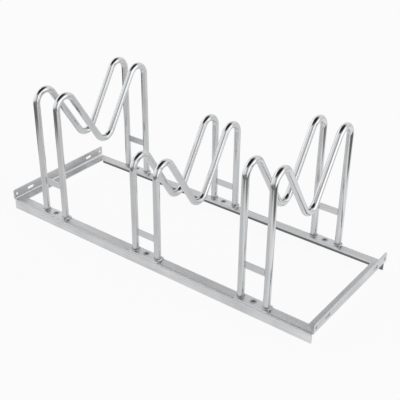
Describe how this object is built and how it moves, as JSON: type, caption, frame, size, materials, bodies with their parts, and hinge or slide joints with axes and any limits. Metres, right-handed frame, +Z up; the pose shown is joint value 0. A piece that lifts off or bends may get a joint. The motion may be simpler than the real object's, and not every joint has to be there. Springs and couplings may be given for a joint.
{
  "type": "floor bike rack",
  "caption": "Floor-standing bicycle rack: bent tube hoops in high and low pairs, braced by flat straps, on a mitred angle-steel frame with linking slots.",
  "frame": {"origin": "on the floor, in the middle of the base frame's outline", "axes": "+X along the rails, +Y from the front rail to the rear rail, +Z up"},
  "size_m": [1.05, 0.39, 0.414],
  "materials": {
    "bright_zinc_tube": "bright zinc plating on drawn tube and flat bar, shiny, with soft streaks",
    "bright_zinc_plate": "bright zinc plating on flat bar, a little duller round the welds",
    "dull_zinc_angle": "galvanised sheet, satin, with soft cloudy streaks along the rolling direction",
    "zinc_fastener": "zinc-plated fastener",
    "weld_metal": "plated weld bead, rippled, darker than the tube"
  },
  "bodies": {
    "root": {"front_rail": "dull_zinc_angle", "rear_rail": "dull_zinc_angle", "left_end_bar": "dull_zinc_angle", "right_end_bar": "dull_zinc_angle", "hoop_1_left": "bright_zinc_tube", "hoop_1_right": "bright_zinc_tube", "strap_1_front": "bright_zinc_tube", "foot_plate_1_front": "bright_zinc_plate", "strap_1_rear": "bright_zinc_tube", "foot_plate_1_rear": "bright_zinc_plate", "hoop_2_left": "bright_zinc_tube", "hoop_2_right": "bright_zinc_tube", "strap_2_front": "bright_zinc_tube", "foot_plate_2_front": "bright_zinc_plate", "strap_2_rear": "bright_zinc_tube", "foot_plate_2_rear": "bright_zinc_plate", "hoop_3_left": "bright_zinc_tube", "hoop_3_right": "bright_zinc_tube", "strap_3_front": "bright_zinc_tube", "foot_plate_3_front": "bright_zinc_plate", "strap_3_rear": "bright_zinc_tube", "foot_plate_3_rear": "bright_zinc_plate", "foot_screws": "zinc_fastener", "foot_washers": "zinc_fastener", "foot_welds": "weld_metal"}
  },
  "joints": []
}
